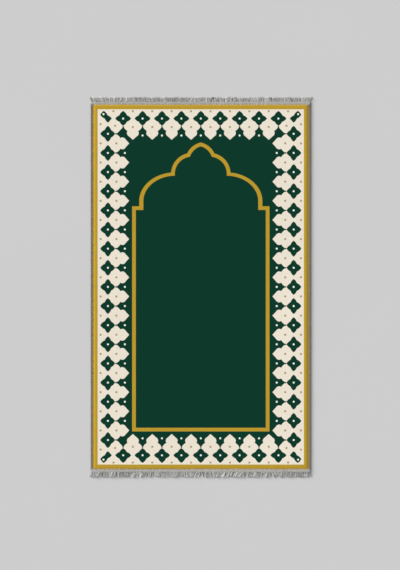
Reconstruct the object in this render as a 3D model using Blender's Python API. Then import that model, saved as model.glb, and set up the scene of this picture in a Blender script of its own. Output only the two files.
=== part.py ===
# A prayer rug lying flat: one pile panel, a fringe folded over each short end and sewn on,
# and a yarn binding wrapped round each long side.
# Units are metres and +Z is up. The origin is the middle of the underside, and the head of
# the rug, where its arch points, is at +Y.

import math

import bmesh
import bpy
from mathutils import Matrix

# The whole rug
RUG_LENGTH = 1.200  # from fringe tip to fringe tip
RUG_WIDTH = 0.702  # across the corner strands, which splay outwards
CLOTH_LENGTH = 1.166  # over the two folded fringe headings
CLOTH_WIDTH = 0.692  # over the two side bindings
GAP = 0.0003  # between pieces that touch

# The pile panel
PILE_LENGTH = 1.1452
PILE_WIDTH = 0.6790
PILE_HEIGHT = 0.0045
PILE_ROUND = 0.0009  # radius of the top edge, where the pile leans out
ROUND_STEPS = 3

# What goes round the panel's edges: the bindings and the headings have one wall thickness
WALL = 0.0006
TONGUE_THICKNESS = 0.0014  # the bare backing that they are sewn to
TONGUE_LOW = WALL + GAP
TONGUE_HIGH = TONGUE_LOW + TONGUE_THICKNESS
WRAP_HEIGHT = TONGUE_HIGH + GAP + WALL
WRAP_ROUND = 0.0011  # rounding of the outer edge

# The fringe, a comb of bundled strands
TOOTH_COUNT = 57
TOOTH_WIDTH = 0.0080
TOOTH_HEIGHT = 0.0015
TIP_WIDTH = 0.0056
TIP_HEIGHT = 0.0009
BEND_SHARE = 0.45  # how far along a tooth its middle section stands
END_MARGIN = 0.0020  # of heading beyond the outermost tooth
UNEVEN_LENGTH = 0.0018
SWAY = 0.0010
SPLAY_SPAN = 0.045  # how much of each end of the comb splays outwards

GREEN = (0.004, 0.041, 0.023)
IVORY_GREY = (0.36, 0.35, 0.34)
BINDING_GREY = (0.29, 0.285, 0.275)


def remove_all_objects():
    for old in list(bpy.data.objects):
        bpy.data.objects.remove(old, do_unlink=True)


def cloth_material(name, colour, roughness):
    """A plain woven or tufted surface of one colour."""
    material = bpy.data.materials.new(name)
    material.use_nodes = True
    surface = material.node_tree.nodes["Principled BSDF"]
    surface.inputs["Base Color"].default_value = (*colour, 1.0)
    surface.inputs["Roughness"].default_value = roughness
    surface.inputs["Metallic"].default_value = 0.0
    return material


def add_object(name, bm, material):
    """Close the mesh, point its faces outwards and put it in the scene."""
    bmesh.ops.recalc_face_normals(bm, faces=bm.faces[:])
    mesh = bpy.data.meshes.new(name)
    bm.to_mesh(mesh)
    bm.free()
    mesh.materials.append(material)
    thing = bpy.data.objects.new(name, mesh)
    bpy.context.scene.collection.objects.link(thing)
    return thing


def add_turned_copy(name, thing):
    """The same piece at the other side of the rug: a half turn about the vertical axis."""
    mesh = thing.data.copy()
    mesh.transform(Matrix.Rotation(math.pi, 4, "Z"))
    mesh.name = name
    copy = bpy.data.objects.new(name, mesh)
    bpy.context.scene.collection.objects.link(copy)
    return copy


def loft(bm, rings):
    """Join each closed ring of points to the next with quads and cap both ends.

    Returns the side faces, a list for each pair of rings.
    """
    loops = [[bm.verts.new(point) for point in ring] for ring in rings]
    count = len(loops[0])
    sides = []
    for low, high in zip(loops, loops[1:]):
        strip = []
        for i in range(count):
            j = (i + 1) % count
            strip.append(bm.faces.new((low[i], low[j], high[j], high[i])))
        sides.append(strip)
    bm.faces.new(loops[0][::-1])
    bm.faces.new(loops[-1])
    return sides


def rectangle(width, length, z):
    """The corners of a level rectangle round the origin."""
    x = width / 2
    y = length / 2
    return [(-x, -y, z), (x, -y, z), (x, y, z), (-x, y, z)]


def make_panel(material):
    """The pile body, with a thin tongue of backing all round at the height of the bindings."""
    tongue_width = CLOTH_WIDTH - 2 * (WALL + GAP)
    tongue_length = CLOTH_LENGTH - 2 * (WALL + GAP)
    rings = [
        rectangle(PILE_WIDTH, PILE_LENGTH, 0.0),
        rectangle(PILE_WIDTH, PILE_LENGTH, TONGUE_LOW),
        rectangle(tongue_width, tongue_length, TONGUE_LOW),
        rectangle(tongue_width, tongue_length, TONGUE_HIGH),
        rectangle(PILE_WIDTH, PILE_LENGTH, TONGUE_HIGH),
    ]
    for step in range(ROUND_STEPS + 1):
        angle = step / ROUND_STEPS * math.pi / 2
        inset = PILE_ROUND * (1 - math.cos(angle))
        height = PILE_HEIGHT - PILE_ROUND * (1 - math.sin(angle))
        rings.append(rectangle(PILE_WIDTH - 2 * inset, PILE_LENGTH - 2 * inset, height))
    bm = bmesh.new()
    loft(bm, rings)
    return add_object("rug_panel", bm, material)


def wrap_profile(inner, outer, low_step):
    """A strip folded round the tongue, as (distance from the rug's middle, height).

    It starts under the inner edge and runs outwards. low_step is the height of the flat
    lower part of the outer wall, and the edge above it is rounded.
    """
    fold = outer - WALL
    points = [(inner, 0.0), (outer, 0.0), (outer, low_step)]
    for step in range(1, ROUND_STEPS + 1):
        angle = step / ROUND_STEPS * math.pi / 2
        out = outer - WRAP_ROUND * (1 - math.cos(angle))
        height = low_step + (WRAP_HEIGHT - low_step) * math.sin(angle)
        points.append((out, height))
    points += [
        (inner, WRAP_HEIGHT),
        (inner, WRAP_HEIGHT - WALL),
        (fold, WRAP_HEIGHT - WALL),
        (fold, WALL),
        (inner, WALL),
    ]
    return points


def make_side_binding(material):
    """The binding of the +X side, which runs between the two fringe headings."""
    profile = wrap_profile(PILE_WIDTH / 2 + GAP, CLOTH_WIDTH / 2, TOOTH_HEIGHT)
    reach = PILE_LENGTH / 2
    bm = bmesh.new()
    loft(bm, [[(x, y, z) for x, z in profile] for y in (-reach, reach)])
    return add_object("side_binding_right", bm, material)


def splay(x):
    """How far the tip of a tooth rooted at x leans sideways: only those near a corner do."""
    last = CLOTH_WIDTH / 2 - END_MARGIN - TOOTH_WIDTH / 2
    reach = RUG_WIDTH / 2 - TIP_WIDTH / 2 - last
    share = max(0.0, (abs(x) - last + SPLAY_SPAN) / SPLAY_SPAN)
    return math.copysign(reach * share**2, x)


def grow_tooth(bm, root, centre, number):
    """Extrude one tooth from a quad of the heading's outer wall, first to a bend, then to its tip."""
    wall = CLOTH_LENGTH / 2
    longest = RUG_LENGTH / 2 - wall
    length = longest - UNEVEN_LENGTH * math.sin(1.7 * number) ** 2
    lean = splay(centre)
    if lean == 0.0:
        lean = SWAY * math.sin(2.4 * number)
    bend_width = (TOOTH_WIDTH + TIP_WIDTH) / 2
    bend_height = (TOOTH_HEIGHT + TIP_HEIGHT) / 2
    face = root
    for share, width, height in (
        (BEND_SHARE, bend_width, bend_height),
        (1.0, TIP_WIDTH, TIP_HEIGHT),
    ):
        face = bmesh.ops.extrude_discrete_faces(bm, faces=[face])["faces"][0]
        middle = face.calc_center_median()
        for vertex in face.verts:
            side = math.copysign(width / 2, vertex.co.x - middle.x)
            high = vertex.co.z > middle.z
            vertex.co.x = centre + lean * share + side
            vertex.co.y = wall + length * share
            vertex.co.z = height if high else 0.0


def make_fringe(material):
    """The +Y fringe: a folded heading with a row of teeth along its outer wall."""
    profile = wrap_profile(PILE_LENGTH / 2 + GAP, CLOTH_LENGTH / 2, TOOTH_HEIGHT)
    outer_wall = 1  # the profile's second side, which the teeth grow from
    first = -CLOTH_WIDTH / 2 + END_MARGIN + TOOTH_WIDTH / 2
    pitch = -2 * first / (TOOTH_COUNT - 1)
    centres = [first + pitch * i for i in range(TOOTH_COUNT)]
    stations = [-CLOTH_WIDTH / 2]
    for centre in centres:
        stations += [centre - TOOTH_WIDTH / 2, centre + TOOTH_WIDTH / 2]
    stations.append(CLOTH_WIDTH / 2)
    bm = bmesh.new()
    strips = loft(bm, [[(x, y, z) for y, z in profile] for x in stations])
    for i, centre in enumerate(centres):
        root = strips[2 * i + 1][outer_wall]
        grow_tooth(bm, root, centre, i - TOOTH_COUNT // 2)
    return add_object("fringe_head", bm, material)


def main():
    remove_all_objects()
    pile = cloth_material("printed_pile", GREEN, 0.95)
    cotton = cloth_material("fringe_cotton", IVORY_GREY, 0.9)
    yarn = cloth_material("binding_yarn", BINDING_GREY, 0.9)
    make_panel(pile)
    fringe = make_fringe(cotton)
    add_turned_copy("fringe_foot", fringe)
    binding = make_side_binding(yarn)
    add_turned_copy("side_binding_left", binding)


main()
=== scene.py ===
import math

import bpy
import numpy as np
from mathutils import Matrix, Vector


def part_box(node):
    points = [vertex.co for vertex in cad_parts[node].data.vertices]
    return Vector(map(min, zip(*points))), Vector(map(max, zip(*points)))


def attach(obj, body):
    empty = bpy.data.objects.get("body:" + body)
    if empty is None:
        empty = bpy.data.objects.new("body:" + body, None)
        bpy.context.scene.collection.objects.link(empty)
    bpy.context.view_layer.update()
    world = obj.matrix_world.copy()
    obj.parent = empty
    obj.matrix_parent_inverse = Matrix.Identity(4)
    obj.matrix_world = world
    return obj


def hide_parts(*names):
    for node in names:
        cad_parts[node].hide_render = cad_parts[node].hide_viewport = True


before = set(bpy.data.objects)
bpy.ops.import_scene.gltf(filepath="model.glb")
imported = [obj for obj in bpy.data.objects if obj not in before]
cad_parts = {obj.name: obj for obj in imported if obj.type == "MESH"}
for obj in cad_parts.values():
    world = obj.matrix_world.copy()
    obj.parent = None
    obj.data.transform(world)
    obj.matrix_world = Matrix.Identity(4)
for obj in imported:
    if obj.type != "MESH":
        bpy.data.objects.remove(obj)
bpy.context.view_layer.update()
print("frame loaded")

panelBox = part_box("rug_panel")
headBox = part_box("fringe_head")
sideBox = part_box("side_binding_right")

panelHalfWidth = panelBox[1].x
panelHalfLength = panelBox[1].y
pileHeight = panelBox[1].z
clothHalfWidth = sideBox[1].x
bindingHalfLength = sideBox[1].y
fringeTip = headBox[1].y
wrapHeight = headBox[1].z


def linear(colour):
    # sRGB 0..255 to linear light, with full opacity
    shares = np.array(colour, float) / 255
    low = shares / 12.92
    high = ((shares + 0.055) / 1.055) ** 2.4
    return (*np.where(shares <= 0.04045, low, high), 1.0)


def newPiece(name, points, faceSets, materials, uv=None):
    # A mesh object at the origin from an array of points and arrays of faces of equal size
    corners = np.concatenate([faces.ravel() for faces in faceSets])
    sizes = np.concatenate([np.full(len(faces), faces.shape[1]) for faces in faceSets])
    starts = np.concatenate([[0], np.cumsum(sizes)[:-1]])
    mesh = bpy.data.meshes.new(name)
    mesh.vertices.add(len(points))
    mesh.vertices.foreach_set("co", points.astype(np.float32).ravel())
    mesh.loops.add(len(corners))
    mesh.loops.foreach_set("vertex_index", corners.astype(np.int32))
    mesh.polygons.add(len(sizes))
    mesh.polygons.foreach_set("loop_start", starts.astype(np.int32))
    mesh.update(calc_edges=True)
    mesh.validate()
    mesh.shade_smooth()
    for material in materials:
        mesh.materials.append(material)
    if uv is not None:
        layer = mesh.uv_layers.new(name="yarn")
        layer.uv.foreach_set("vector", uv.astype(np.float32).ravel())
    piece = bpy.data.objects.new(name, mesh)
    bpy.context.scene.collection.objects.link(piece)
    return piece


def tubes(paths, radii):
    # Round yarn, a ring of sides round each point of each path:
    # ring point = path + radius * (cos(turn) * across + sin(turn) * below).
    # paths is (yarns, stations, 3) and radii is (yarns, stations).
    sides = 5
    ahead = np.gradient(paths, axis=1)
    ahead /= np.linalg.norm(ahead, axis=2, keepdims=True)
    across = np.cross(ahead, np.array([0.0, 0.0, 1.0]))
    flat = np.linalg.norm(across, axis=2, keepdims=True)
    across = np.where(flat > 0.02, across / np.maximum(flat, 1e-9), [1.0, 0.0, 0.0])
    below = np.cross(ahead, across)
    turn = np.arange(sides) / sides * 2 * math.pi
    ring = (
        np.cos(turn)[None, None, :, None] * across[:, :, None, :]
        + np.sin(turn)[None, None, :, None] * below[:, :, None, :]
    )
    return paths[:, :, None, :] + radii[:, :, None, None] * ring


def tubePiece(name, rings, lengths, tone, material):
    # Joins each yarn's rings with quads and closes both ends.
    # UV: u once round the yarn, v in millimetres along it. tone is one number for each yarn.
    yarns, stations, sides = rings.shape[:3]
    index = np.arange(yarns * stations * sides).reshape(yarns, stations, sides)
    here, there = index[:, :-1], index[:, 1:]
    quads = np.stack([here, np.roll(here, -1, 2), np.roll(there, -1, 2), there], -1)
    starts = index[:, 0, ::-1]
    ends = index[:, -1]
    around = np.arange(sides) / sides
    along = np.broadcast_to(np.linspace(0, 1, stations), (yarns, stations))
    along = along * lengths[:, None] * 1000
    u = np.stack([around, around + 1 / sides, around + 1 / sides, around], -1)
    u = np.broadcast_to(u, (yarns, stations - 1, sides, 4))
    low, high = along[:, :-1, None], along[:, 1:, None]
    v = np.broadcast_to(np.stack([low, low, high, high], -1), u.shape)
    capUv = np.zeros((2 * yarns * sides, 2))
    uv = np.concatenate([np.stack([u, v], -1).reshape(-1, 2), capUv])
    points = rings.reshape(-1, 3)
    piece = newPiece(name, points, [quads.reshape(-1, 4), starts, ends], [material], uv)
    shade = piece.data.attributes.new("tone", "FLOAT", "POINT")
    shade.data.foreach_set("value", np.repeat(tone, stations * sides).astype(np.float32))
    return piece


def turned(rings):
    # The same yarns at the other side of the rug, after a half turn about Z
    return rings * np.array([-1.0, -1.0, 1.0])


class Field:
    # A number that varies over the cloth. Arithmetic on it adds math nodes to a material.
    def __init__(self, tree, socket):
        self.tree = tree
        self.socket = socket

    def step(self, operation, *others, clamp=False):
        maths = self.tree.nodes.new("ShaderNodeMath")
        maths.operation = operation
        maths.use_clamp = clamp
        for slot, value in zip(maths.inputs, (self, *others)):
            if isinstance(value, Field):
                self.tree.links.new(value.socket, slot)
            else:
                slot.default_value = value
        return Field(self.tree, maths.outputs[0])

    def __add__(self, other):
        return self.step("ADD", other)

    def __sub__(self, other):
        return self.step("SUBTRACT", other)

    def __mul__(self, other):
        return self.step("MULTIPLY", other)

    def __truediv__(self, other):
        return self.step("DIVIDE", other)

    def __neg__(self):
        return self * -1

    def __abs__(self):
        return self.step("ABSOLUTE")

    def least(self, other):
        return self.step("MINIMUM", other)

    def most(self, other):
        return self.step("MAXIMUM", other)


def distance(across, along):
    # How far off a place is, from the steps across and along to it
    return (across * across + along * along).step("SQRT")


def inside(field, edge):
    # 1 where a signed distance is negative, 0 where it is positive, blended over edge
    return (field * (-1 / edge)).step("ADD", 0.5, clamp=True)


def newMaterial(name, roughness, sheen, specular=0.0):
    # A cloth surface, with the settings that are the same all over it
    material = bpy.data.materials.new(name)
    material.use_nodes = True
    tree = material.node_tree
    surface = tree.nodes["Principled BSDF"]
    surface.inputs["Roughness"].default_value = roughness
    surface.inputs["Specular IOR Level"].default_value = specular
    surface.inputs["Sheen Weight"].default_value = sheen
    surface.inputs["Sheen Roughness"].default_value = 0.45
    return material, tree, surface


def splitVector(tree, vector):
    # The first two parts of a vector, such as x and y or u and v
    parts = tree.nodes.new("ShaderNodeSeparateXYZ")
    tree.links.new(vector, parts.inputs[0])
    return Field(tree, parts.outputs[0]), Field(tree, parts.outputs[1])


def objectPlace(tree):
    # Places on the piece itself, in metres
    return tree.nodes.new("ShaderNodeTexCoord").outputs["Object"]


def noiseField(tree, vector, scale, detail=2.0):
    # Noise round 0, about half a unit each way
    noise = tree.nodes.new("ShaderNodeTexNoise")
    noise.inputs["Scale"].default_value = scale
    noise.inputs["Detail"].default_value = detail
    tree.links.new(vector, noise.inputs["Vector"])
    return Field(tree, noise.outputs["Fac"]) - 0.5


def ribField(place, spacing):
    # Ridges that repeat at a spacing: the size of a sine
    return abs((place * (math.pi / spacing)).step("SINE"))


def mixColour(tree, share, first, second, mode="MIX"):
    # Two colours mixed by a share. Each may be a value, a field or a socket
    mix = tree.nodes.new("ShaderNodeMix")
    mix.data_type = "RGBA"
    mix.blend_type = mode
    for slot, value in ((0, share), (6, first), (7, second)):
        if isinstance(value, Field):
            tree.links.new(value.socket, mix.inputs[slot])
        elif isinstance(value, bpy.types.NodeSocket):
            tree.links.new(value, mix.inputs[slot])
        else:
            mix.inputs[slot].default_value = value
    return mix.outputs[2]


def colourSurface(tree, surface, colour, shade):
    # Base colour = colour * shade
    join = tree.nodes.new("ShaderNodeCombineColor")
    for slot in join.inputs:
        tree.links.new(shade.socket, slot)
    shaded = mixColour(tree, 1.0, colour, join.outputs[0], "MULTIPLY")
    tree.links.new(shaded, surface.inputs["Base Color"])


def addBump(tree, surface, height, depth, strength=1.0):
    # Relief of height * depth, in metres
    bump = tree.nodes.new("ShaderNodeBump")
    bump.inputs["Strength"].default_value = strength
    bump.inputs["Distance"].default_value = depth
    tree.links.new(height.socket, bump.inputs["Height"])
    tree.links.new(bump.outputs["Normal"], surface.inputs["Normal"])


# The border's pattern, in millimetres
border = {
    "halfWidth": 292.4,  # the rectangle that the diamonds stand on
    "halfLength": 530.0,
    "acrossCount": 9,
    "alongCount": 17,
    "cornerOffset": 48.0,  # from that rectangle's corner to the nearest diamond
    "flatPetal": (25.1, 19.4, 11.9),  # reach, then the arc's centre back and aside from the tip
    "uprightPetal": (24.1, 24.6, 13.5),
    "inwardReach": 22.5,  # of the upright petal's inner half
    "neck": (2.0, 23.2, 35.0),  # half width, then where it starts and ends
    "leafTop": (2.8, 13.2, 29.3),  # arc's centre from the leaf's axis, its depth, its radius
    "leafFoot": (7.3, 45.6, 11.3),
    "leafTip": 66.9,  # depth of the point
    "leafTipSlope": 0.9,
    "creamDepth": 5.0,  # plain cream to this depth
    "whiteDot": 3.1,  # radius
    "tanDot": 3.5,
    "spearDot": 53.3,  # depth of the white dots between the leaves
    "leafDot": 26.7,  # depth of the tan dots in the leaves
    "outerDot": -23.0,
    "cornerWhiteDot": -13.9,
    "cornerTanDot": 22.7,
    "frameHalfWidth": 324.8,  # inside of the outer gold band
    "frameHalfLength": 559.2,
}


def borderFields(x, y):
    # Everything is measured from the rectangle that the diamonds stand on, and its four
    # sides meet in a mitre: inward is the distance in from the nearer side, along is the
    # distance from its corner, and the pattern repeats along it.
    inX = -abs(x) + border["halfWidth"]
    inY = -abs(y) + border["halfLength"]
    inward = inX.least(inY)
    along = inX.most(inY)
    offset = border["cornerOffset"]
    acrossPeriod = 2 * (border["halfWidth"] - offset) / (border["acrossCount"] - 1)
    alongPeriod = 2 * (border["halfLength"] - offset) / (border["alongCount"] - 1)
    onLongSide = inX.step("LESS_THAN", inY)
    period = onLongSide * (alongPeriod - acrossPeriod) + acrossPeriod
    turns = (along - offset) / period
    fromDiamond = abs(turns - turns.step("ROUND")) * period
    fromLeaf = period * 0.5 - fromDiamond

    # A diamond is two crossed petals, and each side of a petal is an arc through its tip
    out = abs(inward)
    reach, back, aside = border["flatPetal"]
    flat = distance(fromDiamond + (back - reach), out + aside) - math.hypot(back, aside)
    reach, back, aside = border["uprightPetal"]
    shorter = inward.step("GREATER_THAN", 0.0) * (reach - border["inwardReach"])
    upright = distance(fromDiamond + aside, out + shorter + (back - reach))
    diamond = flat.least(upright - math.hypot(back, aside))

    # A cream leaf: a broad upper lobe, a smaller lower lobe and a point
    across, depth, radius = border["leafTop"]
    upper = distance((fromLeaf - across).most(0.0), inward - depth) - radius
    across, depth, radius = border["leafFoot"]
    lower = distance((fromLeaf - across).most(0.0), inward - depth) - radius
    slope = border["leafTipSlope"]
    point = (fromLeaf * slope + inward) - border["leafTip"]
    point = point.most(-inward + (depth + radius / 2)) * (1 / math.hypot(1, slope))
    leaf = (inward - border["creamDepth"]).least(upper).least(lower).least(point)
    width, start, end = border["neck"]
    neck = (fromDiamond - width).most(abs(inward - (start + end) / 2) - (end - start) / 2)
    cream = leaf.most(-diamond).most(-neck)

    # Dots: white on the dark shapes, tan in the leaves, and one of each at a corner
    corner = border["cornerWhiteDot"]
    whiteDot = distance(fromDiamond, inward)
    whiteDot = whiteDot.least(distance(fromDiamond, inward - border["spearDot"]))
    whiteDot = whiteDot.least(distance(inX - corner, inY - corner)) - border["whiteDot"]
    corner = border["cornerTanDot"]
    tanDot = distance(fromLeaf, inward - border["leafDot"])
    tanDot = tanDot.least(distance(fromLeaf, inward - border["outerDot"]))
    tanDot = tanDot.least(distance(inX - corner, inY - corner)) - border["tanDot"]
    frameBand = abs(x) - border["frameHalfWidth"]
    frameBand = frameBand.most(abs(y) - border["frameHalfLength"])
    return cream, whiteDot, tanDot, frameBand


# The arch, in millimetres
arch = {
    "lineHalfWidth": 5.8,
    "foot": -449.2,
    "halfWidth": 210.4,
    "shoulder": 248.0,
    "springing": 270.4,
    "haunch": (79.7, 107.6, 85.0),  # centre, half width and rise of an ellipse
    "lobe": (27.4, 355.8, 60.3),  # centre and radius of a circle
    "crown": (-12.9, 394.5, 55.5),
}


def archField(x, y):
    # Distance from the arch's outline, which is the edge of four overlapping shapes and
    # their mirror images: the body, the elliptical haunch, a round lobe and the crown.
    a = abs(x)
    middle = (arch["shoulder"] + arch["foot"]) / 2
    halfHeight = (arch["shoulder"] - arch["foot"]) / 2
    body = (a - arch["halfWidth"]).most(abs(y - middle) - halfHeight)
    centre, width, rise = arch["haunch"]
    across = (a - centre).most(0.0) / width
    up = (y - arch["springing"]).most(0.0) / rise
    haunch = (distance(across, up) - 1.0) * ((width + rise) / 2)
    haunch = haunch.most(-y + arch["foot"])
    outline = body.least(haunch)
    for part in ("lobe", "crown"):
        centreX, centreY, radius = arch[part]
        outline = outline.least(distance(a - centreX, y - centreY) - radius)
    return abs(outline)


# The panel: its cloth, its pile and its print
rug = {
    "gridStep": 0.005,  # spacing of the panel's mesh
    "underside": 0.0003,
    "underLift": 0.0006,  # how much higher the underside is at the sewn edge
    "edgeHeight": 0.0023,  # the cloth where the sewing holds it down
    "edgeHold": 0.0052,  # width of that strip, from the outer face of the binding
    "rollOff": 0.0095,  # over which the pile rises to its full height
    "rollSteps": 7,
    "swell": 0.00022,  # height of the slow unevenness
    "swellRoom": 0.0002,  # kept below the full height for it
    "waves": ((9.1, 5.3, 0.0), (-6.7, 8.9, 1.3), (15.7, -3.1, 2.1), (4.3, 17.9, 0.4)),
    "green": (11, 57, 42),
    "cream": (237, 228, 211),
    "gold": (187, 152, 46),
    "tan": (178, 154, 114),
    "white": (240, 245, 232),
    "backing": (150, 140, 122),
    "printEdge": 0.5,  # width over which two colours blend, in millimetres
    "wander": (420, 0.8),  # noise scale, and how far print edges stray in millimetres
    "stray": (1500, 0.7),
    "nap": (5, 0.10),  # noise scale, and its share of the shading
    "tuft": (330, 0.16),
    "fibre": (1900, 0.30),
    "thread": 0.0008,  # spacing of the backing's threads
}


def makePileMaterial():
    # Printed short pile: colours laid one over another, times the shading of the pile
    material, tree, surface = newMaterial("printedPile", 0.95, 0.10)
    place = objectPlace(tree)
    # The print follows the lie of the fibres, so its edges wander a little
    scale, size = rug["wander"]
    wander = noiseField(tree, place, scale) * size
    scale, size = rug["stray"]
    stray = noiseField(tree, place, scale, 1.0) * size
    x, y = splitVector(tree, place)
    x = x * 1000 + wander + stray
    y = y * 1000 + wander - stray
    cream, whiteDot, tanDot, frameBand = borderFields(x, y)
    line = archField(x, y) - arch["lineHalfWidth"]
    edge = rug["printEdge"]
    colour = mixColour(tree, inside(cream, edge), linear(rug["green"]), linear(rug["cream"]))
    colour = mixColour(tree, inside(tanDot, edge), colour, linear(rug["tan"]))
    colour = mixColour(tree, inside(whiteDot, edge), colour, linear(rug["white"]))
    gold = inside(line, edge).most(inside(-frameBand, edge))
    colour = mixColour(tree, gold, colour, linear(rug["gold"]))
    # Slow shading where the pile leans, and a mottle at the size of tufts and of fibres
    nap = noiseField(tree, place, rug["nap"][0], 3.0)
    tuft = noiseField(tree, place, rug["tuft"][0], 3.0)
    fibre = noiseField(tree, place, rug["fibre"][0])
    shade = nap * rug["nap"][1] + tuft * rug["tuft"][1] + fibre * rug["fibre"][1] + 1.0
    colourSurface(tree, surface, colour, shade)
    addBump(tree, surface, fibre * 0.6 + tuft * 0.4, 0.0007, 0.6)
    return material


def makeBackingMaterial():
    # A plain canvas of crossing threads
    material, tree, surface = newMaterial("wovenBacking", 0.9, 0.0, 0.1)
    place = objectPlace(tree)
    x, y = splitVector(tree, place)
    weave = (ribField(x, rug["thread"]) + ribField(y, rug["thread"])) * 0.5
    speck = noiseField(tree, place, 900)
    shade = weave * 0.3 + speck * 0.3 + 0.75
    colourSurface(tree, surface, linear(rug["backing"]), shade)
    addBump(tree, surface, weave, 0.0004)
    return material


def edgeRise(inset):
    # Height of the pile at a distance in from the cloth's edge: held down flat by the
    # sewing, then a smooth S up to the full height
    share = np.clip((inset - rug["edgeHold"]) / rug["rollOff"], 0, 1)
    smooth = share * share * (3 - 2 * share)
    return rug["edgeHeight"] + (pileHeight - rug["swellRoom"] - rug["edgeHeight"]) * smooth


def swell(x, y):
    # Slow unevenness: the mean of a few long waves, each sin(a x + b y + phase)
    waves = [np.sin(a * x + b * y + phase) for a, b, phase in rug["waves"]]
    return sum(waves) / len(waves)


def levels(half):
    # Places across the rug: close together at both edges, evenly spaced between
    hold, roll, steps = rug["edgeHold"], rug["rollOff"], rug["rollSteps"]
    rising = hold + roll * np.linspace(0, 1, steps + 1)
    near = np.concatenate([[0.0, hold / 2], rising])
    middle = half - near[-1]
    count = int(round(2 * middle / rug["gridStep"]))
    inner = np.linspace(-middle, middle, count + 1)[1:-1]
    return np.concatenate([-half + near, inner, (half - near)[::-1]])


def makePanel(pile, backing):
    # Top and underside are the same grid of places, joined round the edge:
    # top = rise from the nearer edge + swell, underside = a little higher at the edge
    x, y = np.meshgrid(levels(panelHalfWidth), levels(panelHalfLength), indexing="ij")
    inset = np.minimum(panelHalfWidth - abs(x), panelHalfLength - abs(y))
    rise = edgeRise(inset + clothHalfWidth - panelHalfWidth)
    share = (rise - rug["edgeHeight"]) / (pileHeight - rug["edgeHeight"])
    top = rise + rug["swell"] * swell(x, y) * share
    low = rug["underside"] + rug["underLift"] * (1 - share)
    upper = np.stack([x, y, top], -1).reshape(-1, 3)
    lower = np.stack([x, y, low], -1).reshape(-1, 3)
    index = np.arange(x.size).reshape(x.shape)
    a, b, c, d = index[:-1, :-1], index[1:, :-1], index[1:, 1:], index[:-1, 1:]
    topFaces = np.stack([a, b, c, d], -1).reshape(-1, 4)
    lowFaces = topFaces[:, ::-1] + x.size
    ring = np.concatenate([index[:-1, 0], index[-1, :-1], index[:0:-1, -1], index[0, :0:-1]])
    after = np.roll(ring, -1)
    rim = np.stack([ring + x.size, after + x.size, after, ring], -1)
    faceSets = [topFaces, lowFaces, rim]
    points = np.concatenate([upper, lower])
    panel = newPiece("pile_panel", points, faceSets, [pile, backing])
    slots = np.repeat([0, 1, 0], [len(faces) for faces in faceSets])
    panel.data.polygons.foreach_set("material_index", slots.astype(np.int32))
    return panel


# The tape folded over each end of the cloth
tape = {
    "fromFringe": 0.0101,  # depth of the whole heading, from its inner edge to the fold
    "depth": 0.0062,
    "thickness": 0.0006,
    "lift": 0.00005,
    "room": 0.0001,  # below the height of the frame's heading
    "sections": 175,
    "wobble": ((0.0002, 61, 0), (0.00015, 143, 1)),  # size, frequency and phase
    "steadyEdge": 0.003,  # the fold doesn't wobble
    "rib": 0.0009,
    "weft": 0.0012,
    "colour": (172, 170, 166),
}
clothEnd = headBox[0].y + tape["fromFringe"]


def makeTapeMaterial():
    # Ribbed tape: fine ribs run along it, crossed by a close weft
    material, tree, surface = newMaterial("headingTape", 0.85, 0.06, 0.1)
    place = objectPlace(tree)
    x, y = splitVector(tree, place)
    weave = ribField(x, tape["rib"]) * 0.6 + ribField(y, tape["weft"]) * 0.4
    cloud = noiseField(tree, place, 60, 3.0)
    speck = noiseField(tree, place, 1800)
    shade = weave * 0.2 + cloud * 0.22 + speck * 0.2 + 0.88
    colourSurface(tree, surface, linear(tape["colour"]), shade)
    addBump(tree, surface, weave, 0.0003)
    return material


def tapeSkin(radius, shrink):
    # One face of the folded tape, as (y, height): along the top, round a half circle at
    # the fold and back underneath. shrink is how far inside the outer face it lies.
    bend = np.linspace(90, -90, 9) * math.pi / 180
    flat = np.linspace(clothEnd - tape["depth"], clothEnd - radius, 6)[:-1]
    r = radius - shrink
    top = np.stack([flat, np.full_like(flat, radius + r)], -1)
    fold = np.stack([clothEnd - radius + r * np.cos(bend), radius + r * np.sin(bend)], -1)
    under = np.stack([flat[::-1], np.full_like(flat, radius - r)], -1)
    return np.concatenate([top, fold, under])


def makeTape(name, side, material):
    # The section is the outer face and the inner face back again, carried across the rug
    radius = (wrapHeight - tape["room"]) / 2
    section = np.concatenate(
        [tapeSkin(radius, 0.0), tapeSkin(radius, tape["thickness"])[::-1]]
    )
    x = np.linspace(-clothHalfWidth, clothHalfWidth, tape["sections"])[:, None]
    wobble = sum(size * np.sin(x * often + phase) for size, often, phase in tape["wobble"])
    loose = section[:, 0] < clothEnd - tape["steadyEdge"]
    points = np.zeros((len(x), len(section), 3))
    points[:, :, 0] = x * side
    points[:, :, 1] = (section[:, 0] + wobble * loose) * side
    points[:, :, 2] = section[:, 1] + tape["lift"]
    index = np.arange(len(x) * len(section)).reshape(len(x), len(section))
    here, there = index[:-1], index[1:]
    faces = np.stack([there, np.roll(there, -1, 1), np.roll(here, -1, 1), here], -1)
    faceSets = [faces.reshape(-1, 4), index[:1], index[-1:, ::-1]]
    return newPiece(name, points.reshape(-1, 3), faceSets, [material])


def makeYarnMaterial(name, base, twist, contrast):
    # Plied yarn: a spiral of plies round it, a speckle of fibres, and its own tone
    material, tree, surface = newMaterial(name, 0.85, 0.08, 0.1)
    uv = tree.nodes.new("ShaderNodeUVMap")
    uv.uv_map = "yarn"
    around, along = splitVector(tree, uv.outputs["UV"])
    # tone is each yarn's own tone; on the fringe's under layer it also carries painted shade
    tone = tree.nodes.new("ShaderNodeAttribute")
    tone.attribute_name = "tone"
    ply = ((around * 2 + along / twist) * (2 * math.pi)).step("SINE")
    fibre = noiseField(tree, objectPlace(tree), 2600)
    shade = (ply * contrast + fibre * 0.35 + 1.0) * Field(tree, tone.outputs["Fac"])
    colourSurface(tree, surface, linear(base), shade)
    addBump(tree, surface, ply + fibre * 0.5, 0.0002)
    return material


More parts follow.
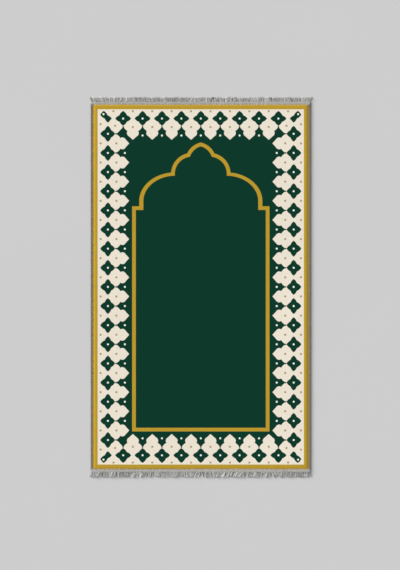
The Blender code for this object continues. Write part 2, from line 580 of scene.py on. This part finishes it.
# The fringe's strands
fringe = {
    "tufts": 138,
    "yarnsPerTuft": 8,
    "yarnRadius": 0.00036,
    "thickness": (0.85, 1.15),  # shares of that radius, from yarn to yarn
    "swelling": (1.0, 1.05, 1.0, 0.98, 1.0, 1.08, 0.8),  # shares of it along a yarn
    "margin": 0.002,  # of cloth outside the outermost tuft
    "tuck": 0.0008,  # where a yarn starts, inside the heading
    "lean": 0.0046,  # sideways, at a tip
    "gather": (0.6, 0.9, 0.6),  # how far neighbours share their lean
    "mostLean": 0.0085,
    "splaySpan": 0.055,  # of each end of the fringe that splays outwards
    "splay": 0.0075,
    "rootSpread": (0.35, 0.75),  # width of a tuft, as a share of their spacing
    "tipSpread": (0.30, 0.95),
    "unevenness": 0.0016,  # in length
    "shortening": 0.0002,
    "rootHeight": 0.0016,
    "lay": (0.0009, 0.0026),  # height at which a tuft lies
    "settle": (0.35, 0.7),  # share of its length in which a yarn comes down
    "toneSpread": 0.15,
    "underYarns": 360,
    "underReach": (0.55, 0.93),
    # tone of the under layer: painted shade, darkening the gaps between the tufts
    "underPaintedShade": 0.36,
    "colour": (222, 221, 218),
    "seed": 7,
}


def strandPaths(roots, leans, bows, reach, rootHeight, lays, settle):
    # Each yarn leaves the heading, comes down and runs on to its tip, with s from 0 to 1:
    # x = root + lean s^1.3 + bow 4 s (1 - s), y = start + reach s, and the height goes from
    # the root's to the lay along a smooth S
    s = np.linspace(0, 1, len(fringe["swelling"]))[None, :]
    fall = np.clip(s / settle, 0, 1)
    fall = fall * fall * (3 - 2 * fall)
    x = roots[:, None] + leans[:, None] * s**1.3 + bows[:, None] * 4 * s * (1 - s)
    y = clothEnd - fringe["tuck"] + reach[:, None] * s
    z = rootHeight[:, None] * (1 - fall) + lays[:, None] * fall
    return np.stack([x, y, z], -1)


def splayOf(roots):
    # Strands near a corner lean outwards, more the nearer they are to it
    span = fringe["splaySpan"]
    share = np.clip((abs(roots) - clothHalfWidth + span) / span, 0, 1)
    return np.sign(roots) * fringe["splay"] * share**2


def makeStrands(name, side, seed, material):
    # Tufts of yarns whose roots and tips are spread evenly over the tuft's width there,
    # over a shorter layer of single yarns whose darker tone is painted shade in the gaps
    # between the tufts. The bare numbers are small spreads, in metres, that keep neighbours
    # from looking alike.
    rng = np.random.default_rng(seed)
    tufts, each = fringe["tufts"], fringe["yarnsPerTuft"]
    half = clothHalfWidth - fringe["margin"]
    pitch = 2 * half / tufts
    centres = np.linspace(-half + pitch / 2, half - pitch / 2, tufts)
    centres = centres + rng.normal(0, 0.0004, tufts)
    lean = np.convolve(rng.normal(0, fringe["lean"], tufts), fringe["gather"], "same")
    lean = lean + rng.normal(0, 0.0012, tufts)
    lean = np.clip(lean, -fringe["mostLean"], fringe["mostLean"])
    outermost = abs(centres) > half - 0.02
    lean = np.where(outermost, lean * 0.3, lean) + splayOf(centres)
    bow = rng.normal(0, 0.0009, tufts)
    full = fringeTip - clothEnd + fringe["tuck"]
    length = full - abs(rng.normal(0, fringe["unevenness"], tufts)) - fringe["shortening"]
    lay = rng.uniform(*fringe["lay"], tufts)
    tone = rng.normal(1.0, fringe["toneSpread"], tufts)
    spread = (np.arange(each) + 0.5) / each - 0.5
    rootWidth = pitch * rng.uniform(*fringe["rootSpread"], tufts)
    tipWidth = pitch * rng.uniform(*fringe["tipSpread"], tufts)
    roots = centres[:, None] + spread * rootWidth[:, None]
    roots = roots + rng.normal(0, 0.0001, (tufts, each))
    leans = lean[:, None] + spread * (tipWidth - rootWidth)[:, None]
    leans = leans + rng.normal(0, 0.0005, (tufts, each))
    bows = bow[:, None] + rng.normal(0, 0.0002, (tufts, each))
    reach = length[:, None] + rng.normal(0, 0.0007, (tufts, each))
    reach = np.minimum(reach, full)
    rootHeight = fringe["rootHeight"] + rng.uniform(0, 0.0012, (tufts, each))
    lays = lay[:, None] + rng.uniform(-0.0003, 0.0006, (tufts, each))
    lays = np.maximum(lays, fringe["yarnRadius"] + 0.0001)
    toneAndPaintedShade = tone[:, None] * rng.normal(1.0, 0.06, (tufts, each))
    under = fringe["underYarns"]
    underRoots = np.linspace(-half, half, under) + rng.normal(0, 0.0004, under)
    underLean = rng.normal(0, 0.0016, under) + splayOf(underRoots)
    layers = [
        (roots, underRoots),
        (leans, underLean),
        (bows, rng.normal(0, 0.0006, under)),
        (reach, full * rng.uniform(*fringe["underReach"], under)),
        (rootHeight, rng.uniform(0.0008, 0.0014, under)),
        (lays, np.full(under, fringe["yarnRadius"] + 0.00005)),
        # the under layer's low tone is painted shade between the tufts; the upper yarns' tone
        # is their own
        (toneAndPaintedShade, rng.normal(fringe["underPaintedShade"], 0.05, under)),
    ]
    roots, leans, bows, reach, rootHeight, lays, toneAndPaintedShade = (
        np.concatenate([upper.ravel(), lower]) for upper, lower in layers
    )
    settle = rng.uniform(*fringe["settle"], (len(roots), 1))
    paths = strandPaths(roots, leans, bows, reach, rootHeight, lays, settle)
    thickness = rng.uniform(*fringe["thickness"], (len(roots), 1))
    radii = fringe["yarnRadius"] * thickness * np.array(fringe["swelling"])
    rings = tubes(paths, radii)
    rings[..., 2] = np.maximum(rings[..., 2], 0.00003)  # just clear of the floor
    if side < 0:
        rings = turned(rings)
    return tubePiece(name, rings, reach, toneAndPaintedShade, material)


# The overcast stitches round all four edges
overcast = {
    "pitch": 0.00118,
    "radius": 0.00054,
    "thickness": (0.85, 1.1),  # shares of that radius, from stitch to stitch
    "point": 0.45,  # share of it at a stitch's inner end
    "bulge": 0.0009,  # of the side rows beyond the cloth's edge
    "side": (0.0072, 0.0046),  # where the stitches end, in from the edge, and the spread
    "end": (0.0094, 0.0053),
    "endMargin": 0.0012,  # of cloth outside an end row
    "cornerOverlap": 0.0055,  # how far the side rows run on under the end rows
    "slant": 0.0011,
    "shoulder": 0.0013,  # inset at which a stitch starts to turn over the edge
    "under": 0.0042,  # inset of its end underneath
    "sink": 0.0009,  # how far its inner end goes down into the pile
    "clear": 0.0001,  # of the floor
    "length": 0.018,  # of yarn in a stitch, for its twist
    # darker than the heading tape: painted shade for the side edges, which turn down away from
    # the light
    "colour": (150, 147, 142),
    "seed": 11,
}


def stitchPaths(places, inner):
    # One turn of yarn over the cloth's edge, as inset and height: from its inner end in
    # the pile, out along the top, round the edge and back underneath
    radius, shoulder = overcast["radius"], overcast["shoulder"]
    s = np.array([0.0, 0.35, 0.7, 0.9, 1.0])
    topInset = inner[:, None] * (1 - s) + shoulder * s
    topHeight = edgeRise(topInset) + radius * 0.75
    topHeight[:, 0] -= overcast["sink"]
    bend = np.array([45, 0, -50, -90]) * math.pi / 180
    lowHeight = radius + overcast["clear"]
    middle = (topHeight[:, -1:] + lowHeight) / 2
    bendHeight = middle + (topHeight[:, -1:] - middle) * np.sin(bend)
    bendInset = shoulder - (shoulder - radius * 0.6) * np.cos(bend)
    bendInset = np.broadcast_to(bendInset, bendHeight.shape)
    underInset = np.full((len(places), 1), overcast["under"])
    underHeight = np.full((len(places), 1), lowHeight)
    inset = np.concatenate([topInset, bendInset, underInset], 1)
    height = np.concatenate([topHeight, bendHeight, underHeight], 1)
    share = np.linspace(0, 1, inset.shape[1])
    along = places[:, None] + overcast["slant"] * (0.5 - share)
    return inset, along, height


def makeOvercast(name, halfLength, edgeAt, where, side, seed, material):
    # A row of stitches over one edge, where "end" is a row over the rug's end
    rng = np.random.default_rng(seed)
    count = int(round(2 * halfLength / overcast["pitch"]))
    places = (np.arange(count) + 0.5) / count * 2 * halfLength - halfLength
    places = places + rng.normal(0, overcast["pitch"] * 0.08, count)
    # Golden steps spread the inner ends evenly, so the row fades out without clumps
    even = np.arange(count) * 0.618034 % 1 * 2 - 1
    reach, spread = overcast[where]
    inner = reach + spread * even + rng.normal(0, 0.0004, count)
    inset, along, height = stitchPaths(places, inner)
    out = edgeAt - inset
    order = [along, out, height] if where == "end" else [out, along, height]
    radii = np.full(inset.shape, overcast["radius"])
    radii = radii * rng.uniform(*overcast["thickness"], (count, 1))
    radii[:, 0] *= overcast["point"]
    rings = tubes(np.stack(order, -1), radii)
    if side < 0:
        rings = turned(rings)
    tone = rng.normal(1.0, 0.06, count)
    lengths = np.full(count, overcast["length"])
    return tubePiece(name, rings, lengths, tone, material)


# The studio. A sun is its strength, its height, the direction it comes from anticlockwise
# from +X and its softness, with the angles in degrees.
studio = {
    "sky": 0.50,
    "lowSun": (3.6, 12, 142, 15),
    "highSun": (1.75, 27, 142, 22),
    "floor": (206, 206, 206),
    "floorHalf": 9.0,
    "lens": 100.0,
    "sensor": 36.0,
    "viewHeight": 1.796,  # metres of floor, from the bottom of the view to the top
    "centre": (-0.0025, 0.0060),
}


def makeFloor():
    # A wide, pale, level square with very slow shading
    mesh = bpy.data.meshes.new("studio_floor")
    half = studio["floorHalf"]
    corners = [(-half, -half, 0), (half, -half, 0), (half, half, 0), (-half, half, 0)]
    mesh.from_pydata(corners, [], [(0, 1, 2, 3)])
    material, tree, surface = newMaterial("paleFloor", 0.8, 0.0, 0.0)
    shade = noiseField(tree, objectPlace(tree), 1.4) * 0.03 + 1.0
    colourSurface(tree, surface, linear(studio["floor"]), shade)
    mesh.materials.append(material)
    floor = bpy.data.objects.new("studio_floor", mesh)
    bpy.context.scene.collection.objects.link(floor)
    return floor


def makeLights():
    # An even white sky, and two soft suns from the upper left
    world = bpy.data.worlds.new("studio")
    world.use_nodes = True
    background = world.node_tree.nodes["Background"]
    background.inputs[0].default_value = (1, 1, 1, 1)
    background.inputs[1].default_value = studio["sky"]
    bpy.context.scene.world = world
    for name in ("lowSun", "highSun"):
        strength, height, azimuth, softness = studio[name]
        lamp = bpy.data.lights.new(name, "SUN")
        lamp.energy = strength
        lamp.angle = math.radians(softness)
        sun = bpy.data.objects.new(name, lamp)
        sun.rotation_euler = (0, math.radians(90 - height), math.radians(azimuth))
        bpy.context.scene.collection.objects.link(sun)


def makeCamera():
    # Straight above, at the distance from which the lens takes in the view's height
    camera = bpy.data.cameras.new("camera")
    camera.lens = studio["lens"]
    camera.sensor_width = studio["sensor"]
    away = studio["viewHeight"] * studio["lens"] / studio["sensor"]
    eye = bpy.data.objects.new("camera", camera)
    eye.location = (*studio["centre"], away)
    bpy.context.scene.collection.objects.link(eye)
    bpy.context.scene.camera = eye
    bpy.context.scene.view_settings.view_transform = "Standard"


makeCamera()
makeLights()
floor = makeFloor()
print("camera, light and floor made")

pile = makePileMaterial()
backing = makeBackingMaterial()
cotton = makeYarnMaterial("fringeCotton", fringe["colour"], 1.4, 0.16)
# the side stitches' darker grey is painted shade on the turned-down edges
thread = makeYarnMaterial("overcastYarn", overcast["colour"], 1.1, 0.14)
tapeCloth = makeTapeMaterial()
print("materials made")

panel = makePanel(pile, backing)
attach(panel, "root")
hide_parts("rug_panel")
print("panel made")

for end, side in (("head", 1), ("foot", -1)):
    heading = makeTape(f"heading_tape_{end}", side, tapeCloth)
    strands = makeStrands(f"fringe_strands_{end}", side, fringe["seed"] + side, cotton)
    stitches = makeOvercast(
        f"end_stitches_{end}",
        clothHalfWidth - overcast["endMargin"],
        clothEnd,
        "end",
        side,
        overcast["seed"] + side,
        cotton,
    )
    for piece in (heading, strands, stitches):
        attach(piece, "root")
    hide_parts(f"fringe_{end}")
    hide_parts(f"fringe_{end}")
print("fringes made")

for hand, side in (("right", 1), ("left", -1)):
    stitches = makeOvercast(
        f"side_overcast_{hand}",
        bindingHalfLength + overcast["cornerOverlap"],
        clothHalfWidth + overcast["bulge"],
        "side",
        side,
        overcast["seed"] + 5 * side,
        thread,
    )
    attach(stitches, "root")
    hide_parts(f"side_binding_{hand}")
print("side bindings made")
